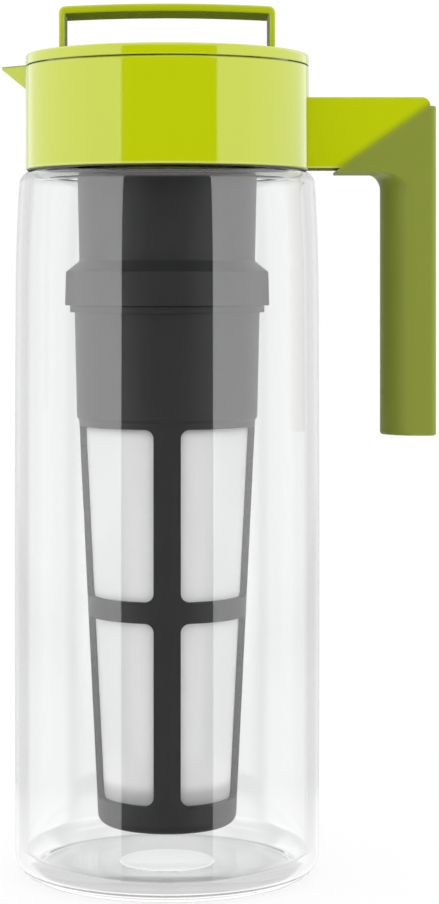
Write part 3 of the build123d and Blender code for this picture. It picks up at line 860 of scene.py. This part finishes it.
combine(sleeve, "DIFFERENCE", core)
bpy.ops.object.shade_smooth_by_angle(angle=radians(40))
hand_over(sleeve, silicone, "grip_silicone", "collar", "grip_sleeve")
sleeve.visible_glossy = False    # the grip isn't mirrored in the jug
print("silicone_sleeve", len(sleeve.data.polygons), "faces")


# %% [markdown]
# ## The filter cloth
#
# The basket's windows are closed by fine woven nylon, stretched on the inside of the ribs
# and over the floor. It is a thin plain weave whose holes let a little of the far side
# show. The weave is drawn round the cone for the sides and straight across for the floor.

# %% Node group: plain weave
thread_pitch = 0.3 * mm
crest_middle, crest_swing = 0.75, 0.25          # how a thread's crest goes over and under
gap_end, thread_start = 0.28, 0.42              # of a crest, where a hole ends and the thread covers
woven, given = new_group(
    "plain_weave",
    [("Across", "NodeSocketFloat", None), ("Along", "NodeSocketFloat", None),
     ("Pitch", "NodeSocketFloat", thread_pitch)],
    [("Height", "NodeSocketFloat"), ("Cover", "NodeSocketFloat")],
)
crests, turns = [], []
for way in ("Across", "Along"):
    count = sum_of(woven, "DIVIDE", given[way], given["Pitch"])
    nearest = sum_of(woven, "ROUND", count)
    beside = sum_of(woven, "MULTIPLY", sum_of(woven, "SUBTRACT", count, nearest), 2.0)
    crests.append(sum_of(woven, "SUBTRACT", 1.0, sum_of(woven, "ABSOLUTE", beside)))
    turns.append(sum_of(woven, "COSINE", sum_of(woven, "MULTIPLY", nearest, pi)))
over_under = sum_of(woven, "MULTIPLY", turns[0], turns[1])
threads = [
    sum_of(woven, "MULTIPLY", crest, sum_of(woven, "MULTIPLY_ADD", over_under, swing, crest_middle))
    for crest, swing in zip(crests, (crest_swing, -crest_swing))
]
height = sum_of(woven, "MAXIMUM", *threads)
cover = ramp(woven, sum_of(woven, "MAXIMUM", *crests), gap_end, thread_start)
add_node(woven, "NodeGroupOutput", {"Height": height, "Cover": cover})
print("group plain_weave:", ", ".join(s.name for s in woven.interface.items_tree))


# %% Nylon
def nylon_cloth(name, directions):
    """Woven nylon. directions gives the net's values across and along the threads."""
    material, tree, shader = new_material(name, Specular_IOR_Level=0.3)
    across, along = directions(tree, axes_of(tree, own_place(tree)))
    weave = add_node(tree, "ShaderNodeGroup", node_tree=woven)
    weave.inputs["Pitch"].default_value = thread_pitch
    tree.links.new(across, weave.inputs["Across"])
    tree.links.new(along, weave.inputs["Along"])
    surface = moulding(tree, 3000, 40, 60)
    tilt = add_node(tree, "ShaderNodeLayerWeight", {"Blend": 0.5}).outputs["Facing"]
    pale = mix_colour(tree, surface["Drift"], paint(253, 253, 252), paint(249, 249, 248))
    tilted = mix_colour(tree, ramp(tree, tilt, *tilt_fade), pale, paint(238, 238, 238))
    wire(tree, tilted, shader, "Base Color")
    wire(tree, ramp(tree, surface["Scuffs"], 0, 1, 0.6, 0.7), shader, "Roughness")
    wire(tree, ramp(tree, weave.outputs["Cover"], 0, 1, hole_cover, 1.0), shader, "Alpha")
    bump = add_node(tree, "ShaderNodeBump", {"Height": weave.outputs["Height"], "Distance": thread_relief})
    wire(tree, bump.outputs[0], shader, "Normal")
    return material


def round_the_cone(tree, spot):
    """The way round the cloth's cone, and the height."""
    angle = sum_of(tree, "ARCTAN2", spot["Y"], spot["X"])
    return sum_of(tree, "MULTIPLY", angle, cloth_mean_r), spot["Z"]


def straight_across(tree, spot):
    """The two level directions."""
    return spot["X"], spot["Y"]


cloth_mean_r = 24.9 * mm
tilt_fade = (0.10, 0.26)        # the cloth looks a little greyer when it is seen aslant
hole_cover, thread_relief = 0.35, 0.04 * mm     # some of a hole is covered by the fine threads' haze
side_nylon = nylon_cloth("nylon_mesh_side", round_the_cone)
base_nylon = nylon_cloth("nylon_mesh_base", straight_across)
# Painted shade at the foot of the lower windows, faint higher up and full near the sill.
sill_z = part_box("basket_frame")[0].z + 9.6 * mm
faint_shade_from, painted_shade_from, painted_shade_full = sill_z + 21 * mm, sill_z + 7.5 * mm, sill_z + 2.5 * mm
edge_line(side_nylon, paint(243, 243, 242), faint_shade_from, painted_shade_from)
edge_line(side_nylon, paint(197, 197, 196), painted_shade_from, painted_shade_full)
print("threads every", thread_pitch / mm, "mm")


# %% Filter sheets
cloth_thickness = 0.12 * mm


def turned_sheet(name, start, end, cuts):
    """A thin surface of revolution between two (radius, height) points."""
    piece = start_point(name, (start[0], 0, start[1]))
    across = (end[0] - start[0], 0, end[1] - start[1])
    bpy.ops.mesh.extrude_region_move(TRANSFORM_OT_translate={"value": across})
    bpy.ops.mesh.select_all(action="SELECT")
    bpy.ops.mesh.subdivide(number_cuts=cuts)
    bpy.ops.mesh.select_all(action="SELECT")
    spin_round(128)
    thick = piece.modifiers.new("thread_thickness", "SOLIDIFY")
    thick.thickness, thick.offset = cloth_thickness, 0
    return piece


low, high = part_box("side_mesh")
skin = 0.2 * mm                 # from the solid's face to the middle of the cloth
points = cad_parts["side_mesh"].data.vertices
foot_r = max(v.co.x for v in points if v.co.z < low.z + 10 * hair) - skin
top_r = high.x - skin
sides = turned_sheet("nylon_sides", (foot_r, low.z), (top_r, high.z), 23)
hand_over(sides, side_nylon, "nylon_mesh", "basket", "side_mesh")

low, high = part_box("base_mesh")
base_r, middle_z = high.x, (low.z + high.z) / 2
floor_cloth = turned_sheet("nylon_floor", (0, middle_z), (base_r, middle_z), 7)
hand_over(floor_cloth, base_nylon, "nylon_mesh", "basket", "base_mesh")
